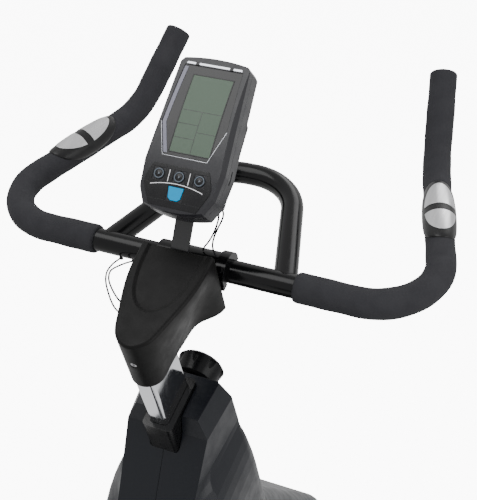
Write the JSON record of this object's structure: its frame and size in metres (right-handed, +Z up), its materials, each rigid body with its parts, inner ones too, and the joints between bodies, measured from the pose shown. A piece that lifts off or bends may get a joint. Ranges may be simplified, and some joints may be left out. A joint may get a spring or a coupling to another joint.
{
  "type": "exercise bike",
  "caption": "Indoor exercise bike: foam-grip handlebar with pulse sensors, small console, sliding chrome post, moulded drive housing, pedals, magnetic brake and adjustable saddle.",
  "frame": {"origin": "on the floor, under the middle of the bike's bounding box", "axes": "+Z up, +Y forward from the saddle to the handlebar, +X to the rider's right"},
  "size_m": [0.5884, 1.1082, 1.2887],
  "materials": {
    "frame_paint": "satin",
    "bar_paint": "gloss",
    "chrome": "polished",
    "steel": "brushed",
    "flywheel_iron": "machined",
    "housing_plastic": "fine satin",
    "cover_plastic": "matte",
    "cap_plastic": "matte",
    "bush_plastic": "gloss",
    "knob_plastic": "gloss",
    "foam": "closed-cell foam",
    "rubber": "matte",
    "cable_sheath": "satin",
    "saddle_vinyl": "grained vinyl",
    "sensor_plate": "brushed",
    "sensor_housing": "satin",
    "console_shell": "satin gloss",
    "console_lens": "clear gloss",
    "lcd": "matt display",
    "button_ring": "gloss with bright ring",
    "button_blue": "gloss"
  },
  "bodies": {
    "frame": {"mast": "frame_paint", "down_tube": "frame_paint", "seat_tube": "frame_paint", "rear_stay": "frame_paint", "front_base": "frame_paint", "rear_base": "frame_paint", "end_caps": "cap_plastic", "mast_bush": "bush_plastic", "seat_bush": "bush_plastic", "housing_left": "housing_plastic", "housing_right": "housing_plastic", "flywheel_axle": "steel", "drive_belt": "rubber", "bottom_bracket_bearings": "steel"},
    "handlebar": {"handlebar_post": "chrome", "stem_bracket": "bar_paint", "handlebar_tube": "bar_paint", "front_loop": "bar_paint", "grip_right": "foam", "grip_left": "foam", "pulse_housings": "sensor_housing", "pulse_plates": "sensor_plate", "post_cover": "cover_plastic", "cover_screw": "steel", "console_bracket": "frame_paint", "console_rear": "console_shell", "console_front": "console_shell", "console_lens": "console_lens", "lcd_panel": "lcd", "cable_left_outer": "cable_sheath", "cable_left_inner": "cable_sheath", "cable_console_thin": "cable_sheath", "cable_console_thick": "cable_sheath"},
    "button_left": {"button_left": "button_ring"},
    "button_middle": {"button_middle": "button_ring"},
    "button_right": {"button_right": "button_ring"},
    "button_enter": {"button_enter": "button_blue"},
    "post_lock_knob": {"post_lock_knob": "knob_plastic"},
    "seat_mast": {"seat_post": "chrome"},
    "seat_lock_knob": {"seat_lock_knob": "knob_plastic"},
    "saddle": {"saddle_slider": "steel", "saddle_base": "cap_plastic", "saddle_cushion": "saddle_vinyl"},
    "slider_lock_knob": {"slider_lock_knob": "knob_plastic"},
    "flywheel": {"flywheel": "flywheel_iron", "flywheel_bearings": "steel", "flywheel_pulley": "flywheel_iron"},
    "crankset": {"crank_spindle": "steel", "drive_pulley": "cap_plastic", "crank_left": "steel", "crank_right": "steel", "pedal_axles": "steel"},
    "pedal_left": {"pedal_left": "cap_plastic"},
    "pedal_right": {"pedal_right": "cap_plastic"},
    "magnet_arm": {"magnet_arm": "frame_paint"},
    "brake_knob": {"brake_knob": "knob_plastic"},
    "wheel_left": {"transport_wheel_left": "rubber"},
    "wheel_right": {"transport_wheel_right": "rubber"},
    "foot_left": {"foot_left": "cap_plastic"},
    "foot_right": {"foot_right": "cap_plastic"}
  },
  "joints": [
    {"name": "handlebar_height", "type": "slide", "parent": "frame", "child": "handlebar", "axis": [0, -0.342, 0.9397], "range_m": [-0.06, 0.12]},
    {"name": "post_lock_turn", "type": "hinge", "parent": "frame", "child": "post_lock_knob", "pos_m": [0, 0.14627, 0.87958], "axis": [0, 0.9397, 0.342], "range_deg": [0, 720]},
    {"name": "seat_height", "type": "slide", "parent": "frame", "child": "seat_mast", "axis": [0, -0.309, 0.9511], "range_m": [-0.1, 0.12]},
    {"name": "seat_lock_turn", "type": "hinge", "parent": "frame", "child": "seat_lock_knob", "pos_m": [0, -0.29922, 0.67633], "axis": [0, -0.9511, -0.309], "range_deg": [0, 720]},
    {"name": "saddle_fore_aft", "type": "slide", "parent": "seat_mast", "child": "saddle", "axis": [0, 1, 0], "range_m": [-0.04, 0.04]},
    {"name": "slider_lock_turn", "type": "hinge", "parent": "seat_mast", "child": "slider_lock_knob", "pos_m": [0.0183, -0.32305, 0.85259], "axis": [1, 0, 0], "range_deg": [0, 720]},
    {"name": "flywheel_spin", "type": "hinge", "parent": "frame", "child": "flywheel", "pos_m": [0, 0.32884, 0.285], "axis": [1, 0, 0], "continuous": true},
    {"name": "crank_spin", "type": "hinge", "parent": "frame", "child": "crankset", "pos_m": [0, -0.15, 0.32], "axis": [1, 0, 0], "continuous": true},
    {"name": "pedal_left_spin", "type": "hinge", "parent": "crankset", "child": "pedal_left", "pos_m": [0, -0.28926, 0.22249], "axis": [1, 0, 0], "continuous": true},
    {"name": "pedal_right_spin", "type": "hinge", "parent": "crankset", "child": "pedal_right", "pos_m": [0, -0.01074, 0.41751], "axis": [1, 0, 0], "continuous": true},
    {"name": "brake_arm_swing", "type": "hinge", "parent": "frame", "child": "magnet_arm", "pos_m": [0, 0.15112, 0.43413], "axis": [1, 0, 0], "range_deg": [0, 5]},
    {"name": "brake_knob_turn", "type": "hinge", "parent": "frame", "child": "brake_knob", "pos_m": [0, -0.07715, 0.56666], "axis": [0, -0.6139, 0.7894], "range_deg": [-270, 0]},
    {"name": "wheel_left_roll", "type": "hinge", "parent": "frame", "child": "wheel_left", "pos_m": [-0.15, 0.515, 0.041], "axis": [1, 0, 0], "continuous": true},
    {"name": "wheel_right_roll", "type": "hinge", "parent": "frame", "child": "wheel_right", "pos_m": [0.15, 0.515, 0.041], "axis": [1, 0, 0], "continuous": true},
    {"name": "foot_left_turn", "type": "hinge", "parent": "frame", "child": "foot_left", "pos_m": [-0.144, -0.51108, 0], "axis": [0, 0, 1], "range_deg": [-720, 720]},
    {"name": "foot_right_turn", "type": "hinge", "parent": "frame", "child": "foot_right", "pos_m": [0.144, -0.51108, 0], "axis": [0, 0, 1], "range_deg": [-720, 720]},
    {"name": "button_left_press", "type": "slide", "parent": "handlebar", "child": "button_left", "axis": [0, 0.7314, -0.682], "range_m": [0, 0.0012], "stiffness_N_per_m": 400},
    {"name": "button_middle_press", "type": "slide", "parent": "handlebar", "child": "button_middle", "axis": [0, 0.7314, -0.682], "range_m": [0, 0.0012], "stiffness_N_per_m": 400},
    {"name": "button_right_press", "type": "slide", "parent": "handlebar", "child": "button_right", "axis": [0, 0.7314, -0.682], "range_m": [0, 0.0012], "stiffness_N_per_m": 400},
    {"name": "button_enter_press", "type": "slide", "parent": "handlebar", "child": "button_enter", "axis": [0, 0.7314, -0.682], "range_m": [0, 0.0012], "stiffness_N_per_m": 400}
  ],
  "couplings": [
    {"joint": "crank_spin", "follows": "flywheel_spin", "ratio": 0.27273},
    {"joint": "brake_knob_turn", "follows": "brake_arm_swing", "ratio": -54}
  ]
}
